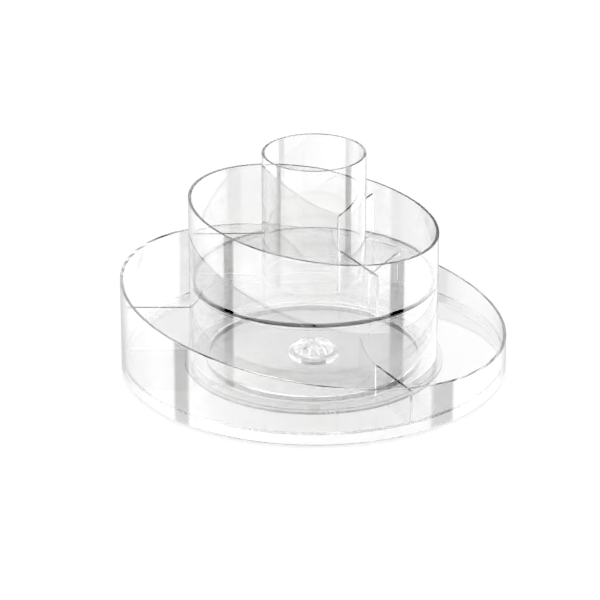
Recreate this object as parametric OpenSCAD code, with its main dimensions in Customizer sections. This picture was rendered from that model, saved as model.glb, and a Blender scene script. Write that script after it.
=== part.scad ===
// Three-tier rotating organiser in clear colourless acrylic.
// A wide lower tray turns on a low foot plate. A tall open drum in its middle
// carries a smaller upper tray, which lifts off, and a brush cup rises from
// the middle of that tray. Both trays have walls cut off on a slant, high on
// the -X side and low on the +X side, and three radial dividers each.
// The origin is on the table, on the axis that the trays turn about.

/* [Lower tray] */
// Outside diameter of the lower tray
lower_d = 300; // [280:1:340]
// Height of the lower wall on its high side, from its bottom edge
lower_high = 72.6; // [62:0.1:82]
// Height of the lower wall on its low side, from its bottom edge
lower_low = 25.8; // [20:0.1:50]
// Height of the lower floor's top face above the wall's bottom edge
lower_floor_h = 10.2; // [10:0.1:14]
// Gap between the wall's bottom edge and the table
skirt_gap = 1.5; // [1:0.1:3]
// Height of the divider on the tray's high side, above the floor
lower_tall_divider_h = 35; // [20:0.5:40]
// Height of the two dividers on the tray's low side, above the floor
lower_short_divider_h = 25.2; // [12:0.1:26]
// Angle of those two dividers from +X, one on each side
lower_divider_angle = 61; // [50:0.5:70]

/* [Drum and upper tray] */
// Outside diameter of the drum and of the upper tray on it
upper_d = 193; // [180:1:210]
// Height of the drum's top edge above the lower wall's bottom edge
drum_top = 71.6; // [62:0.1:82]
// Height of the upper wall on its high side, from its bottom edge
upper_high = 67.2; // [60:0.1:80]
// Height of the upper wall on its low side, from its bottom edge
upper_low = 37.9; // [36.5:0.1:50]
// Height of the upper dividers above the upper floor
upper_divider_h = 33.2; // [20:0.1:34]
// Angle of the two upper dividers on the low side from +X, one on each side
upper_divider_angle = 60; // [50:0.5:70]
// How far the locating ring reaches down into the drum
ring_h = 3.5; // [2:0.1:6]

/* [Cup] */
// Outside diameter of the cup
cup_d = 80; // [70:1:90]
// Height of the cup's rim above the upper tray's bottom edge
cup_h = 102.6; // [85:0.1:115]

/* [Sheet] */
// Thickness of the tray and drum walls
wall_t = 2.4; // [2:0.1:3]
// Thickness of the floors
floor_t = 2.4; // [2:0.1:3]
// Thickness of the cup's wall
cup_t = 2.2; // [2:0.1:3]
// Thickness of the dividers
divider_t = 2; // [1.6:0.1:3]
// Radial room for the bond where one sheet ends against a tube
bond_r = 0.2; // [0.1:0.05:0.3]
// Thickness of the bond where one sheet stands flat on another
bond_z = 0.05; // [0:0.01:0.1]

/* [Turntable] */
// Diameter of the foot plate
plate_d = 202; // [160:1:250]
// Thickness of the foot plate
plate_t = 2.8; // [2:0.1:3]
// Outside diameter of the rib that the lower floor glides on
rib_d = 168; // [120:1:190]
// Radius of the hub's journal, inside the lower floor's hole
journal_r = 14.14; // [12:0.02:15]
// Running clearance between the journal and the hole, on the radius
journal_gap = 0.06; // [0.02:0.01:0.1]
// Radius of the hub's catches above the lower floor
catch_r = 15.8; // [15.6:0.1:18]
// Number of slots between the hub's fingers, counted across the hub
slot_pairs = 6; // [3:1:8]
// Gap between parts that move past each other
play = 0.3; // [0.2:0.05:0.5]

/* [Feet] */
// Number of clear foot pads
pads = 6; // [6:1:6]
// Diameter of a foot pad
pad_d = 11; // [8:0.5:14]
// Height of a foot pad
pad_h = 2; // [1.5:0.1:3]
// Radius of the circle that the foot pads stand on
pad_ring_r = 90; // [60:1:92]

/* [Hidden] */
$fn = 180;

clear = [0.88, 0.93, 0.95, 0.35];
clear_edge = [0.72, 0.80, 0.84, 0.45];
clear_soft = [0.80, 0.84, 0.86, 0.60];

lower_r = lower_d / 2;
upper_r = upper_d / 2;
cup_r = cup_d / 2;
z_skirt = skirt_gap;                          // lower wall's bottom edge
z_floor = z_skirt + lower_floor_h;            // lower floor's top face
z_under = z_floor - floor_t;                  // lower floor's underside
z_drum = z_skirt + drum_top;                  // drum's top edge
z_tray = z_drum + play;                       // upper tray's bottom edge
z_tray_floor = z_tray + floor_t;              // upper floor's top face
z_cup = z_tray + cup_h;                       // cup's rim
z_plate = pad_h + plate_t;                    // foot plate's top face

// A tube standing on the plane z = z0
module tube(r_out, r_in, z0, z1) {
    translate([0, 0, z0]) difference() {
        cylinder(r = r_out, h = z1 - z0);
        translate([0, 0, -1]) cylinder(r = r_in, h = z1 - z0 + 2);
    }
}

// A tube whose top is cut off by a plane that falls towards +X
module slanted_tube(r, t, z0, h_high, h_low) {
    tilt = atan((h_high - h_low) / (2 * r));
    difference() {
        tube(r, r - t, z0, z0 + h_high + 4);
        translate([0, 0, z0 + (h_high + h_low) / 2]) rotate([0, tilt, 0])
            translate([-2 * r, -2 * r, 0]) cube([4 * r, 4 * r, 2 * h_high]);
    }
}

// An upright radial sheet between the radii r0 and r1 at an angle from +X.
// Its ends are set back so that their corners clear the round walls.
module divider(angle, r0, r1, z0, z1) {
    a = r0 + bond_r;
    b = sqrt(pow(r1 - bond_r, 2) - pow(divider_t / 2, 2));
    rotate([0, 0, angle]) translate([a, -divider_t / 2, z0])
        cube([b - a, divider_t, z1 - z0]);
}

// ---- foot assembly, which stands still ----

// Round plate with a raised rib for the lower floor to glide on
module foot_plate() {
    color(clear) {
        difference() {
            translate([0, 0, pad_h]) cylinder(r = plate_d / 2, h = plate_t);
            translate([0, 0, pad_h - 1]) cylinder(r = 10 + bond_r, h = plate_t + 2);
            // shallow step that thins the plate's outer edge
            difference() {
                translate([0, 0, z_plate - 0.8]) cylinder(r = plate_d / 2 + 1, h = 2);
                translate([0, 0, z_plate - 1.8]) cylinder(r = plate_d / 2 - 3, h = 4);
            }
        }
        tube(rib_d / 2, rib_d / 2 - 2.5, z_plate - 0.5, z_under - play);
    }
}

// Hollow bush with a stem, a shoulder, a journal and a domed crown of fingers
module hub() {
    z_sh = z_under - play;                    // shoulder's top face
    z_ct = z_floor + play;                    // underside of the catches
    steps = 8;
    tip_r = 6.6;
    top_z = z_ct + 4.8;
    outer = [for (i = [0 : steps]) let (a = 90 * i / steps)
        [tip_r + (catch_r - tip_r) * cos(a), z_ct + 0.8 + (top_z - z_ct - 0.8) * sin(a)]];
    inner = [for (i = [0 : steps]) let (a = 90 - 90 * i / steps)
        [tip_r + (journal_r - 2 - tip_r) * cos(a), z_ct - 0.5 + (top_z - 1.9 - z_ct + 0.5) * sin(a)]];
    color(clear_edge) difference() {
        rotate_extrude() polygon(concat(
            [[0, pad_h + 0.3], [10, pad_h + 0.3], [10, z_plate + bond_z], [19.5, z_plate + bond_z],
             [19.5, z_sh], [journal_r, z_sh], [journal_r, z_ct], [catch_r, z_ct]],
            outer, inner,
            [[journal_r - 2, z_plate + 2.2], [0, z_plate + 2.2]]));
        for (i = [0 : slot_pairs - 1]) rotate([0, 0, 180 * (i + 0.5) / slot_pairs])
            translate([-30, -0.75, z_sh + 0.3]) cube([60, 1.5, 20]);
    }
}

// Low clear pad under the foot plate, with a rounded lower edge
module foot_pad(i) {
    color(clear_soft) rotate([0, 0, 360 * (i + 0.5) / pads]) translate([pad_ring_r, 0, 0])
        rotate_extrude() polygon([[0, 0], [pad_d / 2 - 0.8, 0], [pad_d / 2 - 0.24, 0.24],
            [pad_d / 2, 0.8], [pad_d / 2, pad_h - bond_z], [0, pad_h - bond_z]]);
}
module foot_pad_1() { foot_pad(0); }
module foot_pad_2() { foot_pad(1); }
module foot_pad_3() { foot_pad(2); }
module foot_pad_4() { foot_pad(3); }
module foot_pad_5() { foot_pad(4); }
module foot_pad_6() { foot_pad(5); }

// ---- lower tray, which turns on the hub ----

// Round floor with a hole for the hub's journal
module lower_floor() {
    color(clear) tube(lower_r - wall_t - bond_r, journal_r + journal_gap, z_under, z_floor);
}

// Outer wall, cut on a slant, with a skirt below the floor
module lower_wall() {
    color(clear) slanted_tube(lower_r, wall_t, z_skirt, lower_high, lower_low);
}

// Drum that carries the upper tray
module drum_wall() {
    color(clear) tube(upper_r, upper_r - wall_t, z_floor + bond_z, z_drum);
}

module lower_divider(angle, h) {
    color(clear_edge) divider(angle, upper_r, lower_r - wall_t, z_floor + bond_z, z_floor + h);
}
module lower_divider_left() { lower_divider(180, lower_tall_divider_h); }
module lower_divider_front() { lower_divider(-lower_divider_angle, lower_short_divider_h); }
module lower_divider_rear() { lower_divider(lower_divider_angle, lower_short_divider_h); }

// ---- upper tray, which lifts off the drum ----

// Round floor, flush with the wall's bottom edge
module upper_floor() {
    color(clear) translate([0, 0, z_tray]) cylinder(r = upper_r - wall_t - bond_r, h = floor_t);
}

// Outer wall, cut on a slant
module upper_wall() {
    color(clear) slanted_tube(upper_r, wall_t, z_tray, upper_high, upper_low);
}

// Ring under the floor that sits inside the drum and keeps the tray centred
module locating_ring() {
    r = upper_r - wall_t - play;
    color(clear) tube(r, r - 2, z_tray - ring_h, z_tray - bond_z);
}

// Tall round cup in the middle; the tray's floor closes it
module cup_wall() {
    color(clear) tube(cup_r, cup_r - cup_t, z_tray_floor + bond_z, z_cup);
}

module upper_divider(angle) {
    color(clear_edge) divider(angle, cup_r, upper_r - wall_t,
        z_tray_floor + bond_z, z_tray_floor + upper_divider_h);
}
module upper_divider_left() { upper_divider(180); }
module upper_divider_front() { upper_divider(-upper_divider_angle); }
module upper_divider_rear() { upper_divider(upper_divider_angle); }

foot_plate();
hub();
foot_pad_1();
foot_pad_2();
foot_pad_3();
foot_pad_4();
foot_pad_5();
foot_pad_6();
lower_floor();
lower_wall();
drum_wall();
lower_divider_left();
lower_divider_front();
lower_divider_rear();
upper_floor();
upper_wall();
locating_ring();
cup_wall();
upper_divider_left();
upper_divider_front();
upper_divider_rear();
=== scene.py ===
import bpy, math
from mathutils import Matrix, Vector

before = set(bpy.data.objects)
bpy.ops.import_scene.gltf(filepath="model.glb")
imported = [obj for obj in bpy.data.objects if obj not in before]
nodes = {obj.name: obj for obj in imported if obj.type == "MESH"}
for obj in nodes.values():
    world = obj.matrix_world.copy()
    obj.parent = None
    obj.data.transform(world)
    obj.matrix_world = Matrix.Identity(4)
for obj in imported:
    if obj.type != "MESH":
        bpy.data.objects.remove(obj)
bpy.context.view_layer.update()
sc = bpy.context.scene

# ---------------------------------------------------------------- camera
cam_data = bpy.data.cameras.new("camera")
cam_data.lens = 197.84
cam_data.sensor_width = 36
cam_data.clip_start, cam_data.clip_end = 0.05, 60
cam = bpy.data.objects.new("camera", cam_data)
cam.location = (-0.010684, -2.33847, 1.09725)
cam.rotation_euler = (math.radians(90 - 24.066), 0, 0)
sc.collection.objects.link(cam)
sc.camera = cam

# ---------------------------------------------------------------- render look
sc.view_settings.view_transform = "Standard"
sc.view_settings.look = "None"
sc.view_settings.use_curve_mapping = True  # a little more contrast, with white kept white
curve = sc.view_settings.curve_mapping
curve.black_level = (0.27, 0.27, 0.27)
curve.white_level = (1, 1, 1)
curve.update()
cy = sc.cycles
cy.max_bounces = 64
cy.transmission_bounces = 64
cy.glossy_bounces = 64
cy.diffuse_bounces = 2
cy.transparent_max_bounces = 16
cy.caustics_reflective = True
cy.caustics_refractive = True
cy.blur_glossy = 0.0
cy.sample_clamp_indirect = 12.0
cy.use_denoising = True


# ---------------------------------------------------------------- node helpers
def node_tree(name):
    m = bpy.data.materials.new(name)
    m.use_nodes = True
    nt = m.node_tree
    nt.nodes.clear()
    return m, nt


def add(nt, kind, **kw):
    n = nt.nodes.new(kind)
    for k, v in kw.items():
        setattr(n, k, v)
    return n


def sock(nt, value, target):
    """Puts a number, a tuple or another node's output on a socket."""
    if isinstance(value, bpy.types.NodeSocket):
        nt.links.new(value, target)
    else:
        target.default_value = value


def calc(nt, op, a, b=None, clamp=False):
    n = add(nt, "ShaderNodeMath", operation=op, use_clamp=clamp)
    sock(nt, a, n.inputs[0])
    if b is not None:
        sock(nt, b, n.inputs[1])
    return n.outputs[0]


def ramp(nt, fac, stops, mode="LINEAR"):
    """A colour ramp; a stop is (position, grey) or (position, (r, g, b))."""
    n = add(nt, "ShaderNodeValToRGB")
    n.color_ramp.interpolation = mode
    els = n.color_ramp.elements
    while len(els) > 1:
        els.remove(els[0])
    for i, (p, c) in enumerate(stops):
        e = els[0] if i == 0 else els.new(p)
        e.position = p
        e.color = (*c, 1) if isinstance(c, tuple) else (c, c, c, 1)
    sock(nt, fac, n.inputs[0])
    return n.outputs[0]


def noise(nt, vec, scale, detail=2.0, rough=0.5, distort=0.0):
    n = add(nt, "ShaderNodeTexNoise")
    sock(nt, vec, n.inputs["Vector"])
    n.inputs["Scale"].default_value = scale
    n.inputs["Detail"].default_value = detail
    n.inputs["Roughness"].default_value = rough
    n.inputs["Distortion"].default_value = distort
    return n.outputs["Fac"]


def stretched(nt, vec, scale, turn=0.0):
    n = add(nt, "ShaderNodeMapping")
    sock(nt, vec, n.inputs["Vector"])
    n.inputs["Rotation"].default_value = (0, 0, turn)
    n.inputs["Scale"].default_value = scale
    return n.outputs[0]


# ---------------------------------------------------------------- materials
def clear_plastic(name, dark, light, ior, seed, cut=None, cut_rough=0.2, cut_shade=0.8,
                  grain=(1, 1, 0.03), grain_scale=260.0, wave=(16.0, 0.00004), haze=0.03, base_rough=0.0,
                  bottom_rough=None, joint=None, facing=None):
    """Clear rigid plastic. dark and light are the ends of its slow tint variation. cut says which faces are
    cut edges: 'top' for faces that look up or down, 'side' for upright faces, 'sheet' for all but the two big
    faces, which look along facing. The darker colour given to those cut faces is painted shade for the dark
    look of cut rims and edges. bottom_rough is for cut faces that look down. joint is the height in metres
    under which an upright edge stays dark. grain is how its fine lines run, wave the size and depth of its
    slow unevenness, haze the roughness of wiped patches and hairlines."""
    m, nt = node_tree(name)
    out = add(nt, "ShaderNodeOutputMaterial")
    p = add(nt, "ShaderNodeBsdfPrincipled")
    nt.links.new(p.outputs[0], out.inputs["Surface"])
    p.inputs["IOR"].default_value = ior
    p.inputs["Transmission Weight"].default_value = 1
    co = add(nt, "ShaderNodeTexCoord").outputs["Object"]
    here = stretched(nt, co, (1, 1, 1), seed)
    # slow tint
    tint = ramp(nt, noise(nt, here, 11.0, 3.0), [(0.3, dark), (0.7, light)])
    # wiped patches, then hairlines in two directions
    patch = ramp(nt, noise(nt, here, 24.0, 4.0, 0.6, 0.4), [(0.52, 0.0), (0.72, 1.0)])
    fine = ramp(nt, noise(nt, here, 420.0, 3.0, 0.6), [(0.35, 0.35), (0.7, 1.0)])
    smear = calc(nt, "MULTIPLY", patch, fine)
    h1 = ramp(nt, noise(nt, stretched(nt, co, (420, 14, 30), seed + 0.5), 1.0, 2.0), [(0.72, 0.0), (0.78, 1.0)])
    h2 = ramp(nt, noise(nt, stretched(nt, co, (14, 380, 30), seed - 0.3), 1.0, 2.0), [(0.72, 0.0), (0.78, 1.0)])
    hair = calc(nt, "MAXIMUM", h1, h2)
    rough = calc(nt, "MULTIPLY_ADD", smear, haze)
    rough.node.inputs[2].default_value = base_rough
    rough = calc(nt, "ADD", rough, calc(nt, "MULTIPLY", hair, haze * 1.4))
    # slow unevenness of the surface and fine lines along it
    slow = noise(nt, stretched(nt, co, (1, 1, 0.35), seed), wave[0], 1.0)
    lines = noise(nt, stretched(nt, co, grain, seed), grain_scale, 2.0)
    height = calc(nt, "ADD", slow, calc(nt, "MULTIPLY", lines, 0.02))
    if cut:
        normal = add(nt, "ShaderNodeTexCoord").outputs["Normal"]
        nz = add(nt, "ShaderNodeSeparateXYZ")
        nt.links.new(normal, nz.inputs[0])
        up = calc(nt, "ABSOLUTE", nz.outputs[2])
        if cut == "sheet":
            dot = add(nt, "ShaderNodeVectorMath", operation="DOT_PRODUCT")
            nt.links.new(normal, dot.inputs[0])
            dot.inputs[1].default_value = (-math.sin(math.radians(facing)), math.cos(math.radians(facing)), 0)
            up = calc(nt, "ABSOLUTE", dot.outputs["Value"])
        mask = ramp(nt, up, [(0.45, 0.0), (0.55, 1.0)] if cut == "top" else [(0.45, 1.0), (0.55, 0.0)])
        saw = noise(nt, stretched(nt, co, (1, 1, 0.05) if cut == "side" else (1, 1, 1), seed), 2600.0, 2.0, 0.7)
        mix = add(nt, "ShaderNodeMix", data_type="RGBA")
        nt.links.new(mask, mix.inputs["Factor"])
        nt.links.new(tint, mix.inputs["A"])
        # painted shade: the cut faces get a darker colour, varied a little along the saw marks
        edge = ramp(nt, saw, [(0.3, cut_shade * 0.92), (0.7, cut_shade)])
        # on a divider sheet the upright ends get little of this painted shade, and the top and bottom edges get all
        # of it
        if cut == "sheet":
            end = calc(nt, "LESS_THAN", calc(nt, "ABSOLUTE", nz.outputs[2]), 0.5)
            edge = calc(nt, "MAXIMUM", edge, calc(nt, "MULTIPLY", end, 0.86))
        # above the joint height the edge is made lighter, so the dark colour stays only below it
        if joint:
            z = add(nt, "ShaderNodeSeparateXYZ")
            nt.links.new(co, z.inputs[0])
            over = calc(nt, "MULTIPLY", calc(nt, "SUBTRACT", z.outputs[2], joint), 5000.0, clamp=True)
            edge = calc(nt, "MAXIMUM", edge, calc(nt, "MULTIPLY", over, 0.8))
        nt.links.new(edge, mix.inputs["B"])
        tint = mix.outputs["Result"]
        cr = calc(nt, "MULTIPLY", mask, ramp(nt, saw, [(0.25, cut_rough * 0.6), (0.75, cut_rough * 1.3)]))
        if bottom_rough:
            down = calc(nt, "LESS_THAN", nz.outputs[2], -0.5)
            cr = calc(nt, "MAXIMUM", cr, calc(nt, "MULTIPLY", down, bottom_rough))
        rough = calc(nt, "MAXIMUM", rough, cr)
        height = calc(nt, "ADD", height, calc(nt, "MULTIPLY", mask, calc(nt, "MULTIPLY", saw, 0.01)))
    # base colour: the slow random tint, with the painted shade on any cut faces
    nt.links.new(tint, p.inputs["Base Color"])
    nt.links.new(rough, p.inputs["Roughness"])
    b = add(nt, "ShaderNodeBump")
    b.inputs["Strength"].default_value = 1.0
    b.inputs["Distance"].default_value = wave[1]
    nt.links.new(height, b.inputs["Height"])
    nt.links.new(b.outputs[0], p.inputs["Normal"])
    return m


def grey(v, warm=0.0):
    return (v * (1 + warm), v, v * (1 - warm))


looks = {
    # extruded tube, its rims cut on a slant; the darker colour of its rims is painted shade
    "clear_wall": clear_plastic("clear_wall_look", grey(0.892, 0.002), grey(0.908, -0.002), 1.59, 0.3, cut="top",
                                cut_rough=0.08, cut_shade=0.5, bottom_rough=0.3),
    # cut sheet, edges left from the cutter; their slightly darker colour is painted shade
    "clear_floor": clear_plastic("clear_floor_look", grey(0.895, -0.002), grey(0.91, 0.003), 1.59, 1.1, cut="side",
                                 cut_rough=0.25, cut_shade=0.85, grain=(1, 0.1, 1), grain_scale=180.0,
                                 wave=(12.0, 0.00002), haze=0.04),
    # the same sheet under the upper wall, where the joint reads as a dark line
    "upper_floor": clear_plastic("upper_floor_look", grey(0.895, -0.002), grey(0.91, 0.003), 1.59, 1.9, cut="side",
                                 cut_rough=0.1, cut_shade=0.12, joint=0.0749, grain=(1, 0.1, 1), grain_scale=180.0,
                                 wave=(12.0, 0.00002), haze=0.04),
    # moulded plate and hub; the darker colour of the plate's upright edges is painted shade
    "clear_plate": clear_plastic("clear_plate_look", grey(0.90), grey(0.92), 1.49, 2.7, cut="side",
                                 cut_rough=0.3, cut_shade=0.5, grain=(1, 1, 1), grain_scale=90.0,
                                 wave=(20.0, 0.00001), haze=0.03, base_rough=0.012),
    "clear_hub": clear_plastic("clear_hub_look", grey(0.93), grey(0.95), 1.47, 3.4, grain=(1, 1, 1),
                               grain_scale=120.0, wave=(45.0, 0.00005), haze=0.05, base_rough=0.02),
    # soft non-slip pads
    "foot_pads": clear_plastic("foot_pads_look", grey(0.86, 0.004), grey(0.90, 0.002), 1.43, 4.2, grain=(1, 1, 1),
                               grain_scale=700.0, wave=(160.0, 0.0004), haze=0.25, base_rough=0.28),
}
# cut sheet dividers, one look for each way that they face; the darker colour of their edges is painted shade,
# strongest on the top and bottom edges
for tray, side, away in (("lower", "left", 180), ("lower", "front", -61), ("lower", "rear", 61),
                         ("upper", "left", 180), ("upper", "front", -60), ("upper", "rear", 60)):
    looks[tray + "_" + side] = clear_plastic(
        "divider_look_" + tray + "_" + side, grey(0.89), grey(0.905), 1.59, 2.0 + away / 100, cut="sheet",
        facing=away, cut_rough=0.1, cut_shade=0.32, grain=(1, 1, 0.1), wave=(14.0, 0.00004))
for n, o in nodes.items():
    for slot in o.material_slots:
        key = slot.material.name.split(".")[0]
        if n == "upper_floor":
            key = "upper_floor"
        if key == "clear_divider":
            key = n.split("_")[0] + "_" + n.split("_")[2]
        slot.material = looks[key]

# ---------------------------------------------------------------- stage
me = bpy.data.meshes.new("floor")
s = 12
me.from_pydata([(-s, -s, -0.0002), (s, -s, -0.0002), (s, s, -0.0002), (-s, s, -0.0002)], [], [(0, 1, 2, 3)])
floor = bpy.data.objects.new("floor", me)
sc.collection.objects.link(floor)
m, nt = node_tree("floor_white")
out = add(nt, "ShaderNodeOutputMaterial")
d = add(nt, "ShaderNodeBsdfDiffuse")
d.inputs["Color"].default_value = (0.3, 0.3, 0.3, 1)
# the floor glows evenly at 0.68 of white; for rays that came through the plastic it glows at 0.67, a painted shade
glow = add(nt, "ShaderNodeEmission")
glow.inputs["Color"].default_value = (1, 1, 1, 1)
lp = add(nt, "ShaderNodeLightPath")
lit = add(nt, "ShaderNodeMapRange")
nt.links.new(lp.outputs["Transmission Depth"], lit.inputs["Value"])
lit.inputs["To Min"].default_value = 0.68
lit.inputs["To Max"].default_value = 0.67
nt.links.new(lit.outputs["Result"], glow.inputs["Strength"])
pale = add(nt, "ShaderNodeAddShader")
nt.links.new(d.outputs[0], pale.inputs[0])
nt.links.new(glow.outputs[0], pale.inputs[1])
clear = calc(nt, "GREATER_THAN", lp.outputs["Glossy Depth"], 0.5)
clear = calc(nt, "SUBTRACT", clear, lp.outputs["Diffuse Depth"], clamp=True)
# seen from below, the floor is not there, so that the underside can be looked at
clear = calc(nt, "MAXIMUM", clear, add(nt, "ShaderNodeNewGeometry").outputs["Backfacing"])
mix = add(nt, "ShaderNodeMixShader")
nt.links.new(clear, mix.inputs[0])
nt.links.new(pale.outputs[0], mix.inputs[1])
nt.links.new(add(nt, "ShaderNodeBsdfTransparent").outputs[0], mix.inputs[2])
nt.links.new(mix.outputs[0], out.inputs["Surface"])
me.materials.append(m)

# ---------------------------------------------------------------- studio
# Light comes from a white surround. What the plastic mirrors is a ring of soft boxes: strong on the camera's
# side, weaker beyond, with one narrow dark gap on each side.
TOP = 4.5
w = bpy.data.worlds.new("studio")
sc.world = w
w.use_nodes = True
nt = w.node_tree
nt.nodes.clear()
dirn = add(nt, "ShaderNodeVectorMath", operation="NORMALIZE")
nt.links.new(add(nt, "ShaderNodeTexCoord").outputs["Generated"], dirn.inputs[0])
xyz = add(nt, "ShaderNodeSeparateXYZ")
nt.links.new(dirn.outputs[0], xyz.inputs[0])
turn = calc(nt, "ARCTAN2", xyz.outputs[0], xyz.outputs[1])
turn = calc(nt, "MULTIPLY_ADD", turn, 0.5 / math.pi)
turn.node.inputs[2].default_value = 0.5
rise = calc(nt, "MULTIPLY_ADD", calc(nt, "ARCSINE", xyz.outputs[2]), 1 / math.pi)
rise.node.inputs[2].default_value = 0.5


def ring(stops):
    """Brightness round the horizon: (degrees from straight ahead, positive to the right, brightness)."""
    return ramp(nt, turn, [((a + 180) / 360, v / TOP) for a, v in stops])


def blend(fac, a, b):
    n = add(nt, "ShaderNodeMix", data_type="FLOAT")
    nt.links.new(fac, n.inputs["Factor"])
    sock(nt, a, n.inputs["A"])
    sock(nt, b, n.inputs["B"])
    return n.outputs["Result"]


first = ring([(-180, 2.9), (-130, 3.3), (-112, 3.5), (-101, 2.8), (-99, 0), (-89.5, 0), (-88, 3.5), (-76, 3.0),
              (-60, 1.9), (-42, 1.4), (-20, 0.85), (0, 0.8), (20, 0.85), (42, 1.5), (55, 2.1), (70, 2.8), (88, 2.8),
              (89.5, 0), (105, 0), (106.5, 2.7), (115, 2.9), (180, 2.9)])
later = ring([(-180, 2.4), (-130, 2.7), (-101, 2.6), (-99, 0), (-89.5, 0), (-88, 1.0), (-70, 1.5), (-40, 1.1),
              (0, 0.7), (40, 1.6), (70, 2.1), (88, 2.0), (89.5, 0), (105, 0), (106.5, 1.5), (140, 1.9), (180, 2.4)])
first_up = ring([(-180, 3.0), (-110, 2.5), (-50, 1.6), (30, 1.6), (60, 3.2), (110, 3.4), (150, 3.2), (180, 3.0)])
later_up = ring([(-180, 0.9), (-110, 1.0), (-45, 1.5), (0, 1.1), (45, 1.7), (75, 1.4), (120, 1.6), (180, 0.9)])
above = ramp(nt, rise, [(0.49, 0.0), (0.51, 1.0)])
high = ramp(nt, rise, [(0.74, 0.0), (0.82, 1.0)])
low = ramp(nt, rise, [(0.18, 1.0), (0.26, 0.0)])
lp = add(nt, "ShaderNodeLightPath")
through = calc(nt, "GREATER_THAN", lp.outputs["Transmission Depth"], 0.5)
mirrored = calc(nt, "GREATER_THAN", lp.outputs["Glossy Depth"], 0.5)
level = blend(above, blend(through, first, later), blend(through, first_up, later_up))
level = blend(high, level, 1.2 / TOP)
level = blend(low, level, 1.0 / TOP)
# the boxes fade towards the floor
fade = ramp(nt, rise, [(0.5 - 27 / 180, 0.8), (0.5 - 25.2 / 180, 0.93), (0.5 - 24 / 180, 1.0)])
level = calc(nt, "MULTIPLY", calc(nt, "MULTIPLY", level, fade), TOP)
scattered = calc(nt, "GREATER_THAN", lp.outputs["Diffuse Depth"], 0.5)
level = blend(mirrored, 1.0, level)
level = blend(scattered, level, 1.25)
out = add(nt, "ShaderNodeOutputWorld")
bg = add(nt, "ShaderNodeBackground")
bg.inputs["Color"].default_value = (1, 1, 1, 1)
nt.links.new(level, bg.inputs["Strength"])
nt.links.new(bg.outputs[0], out.inputs["Surface"])
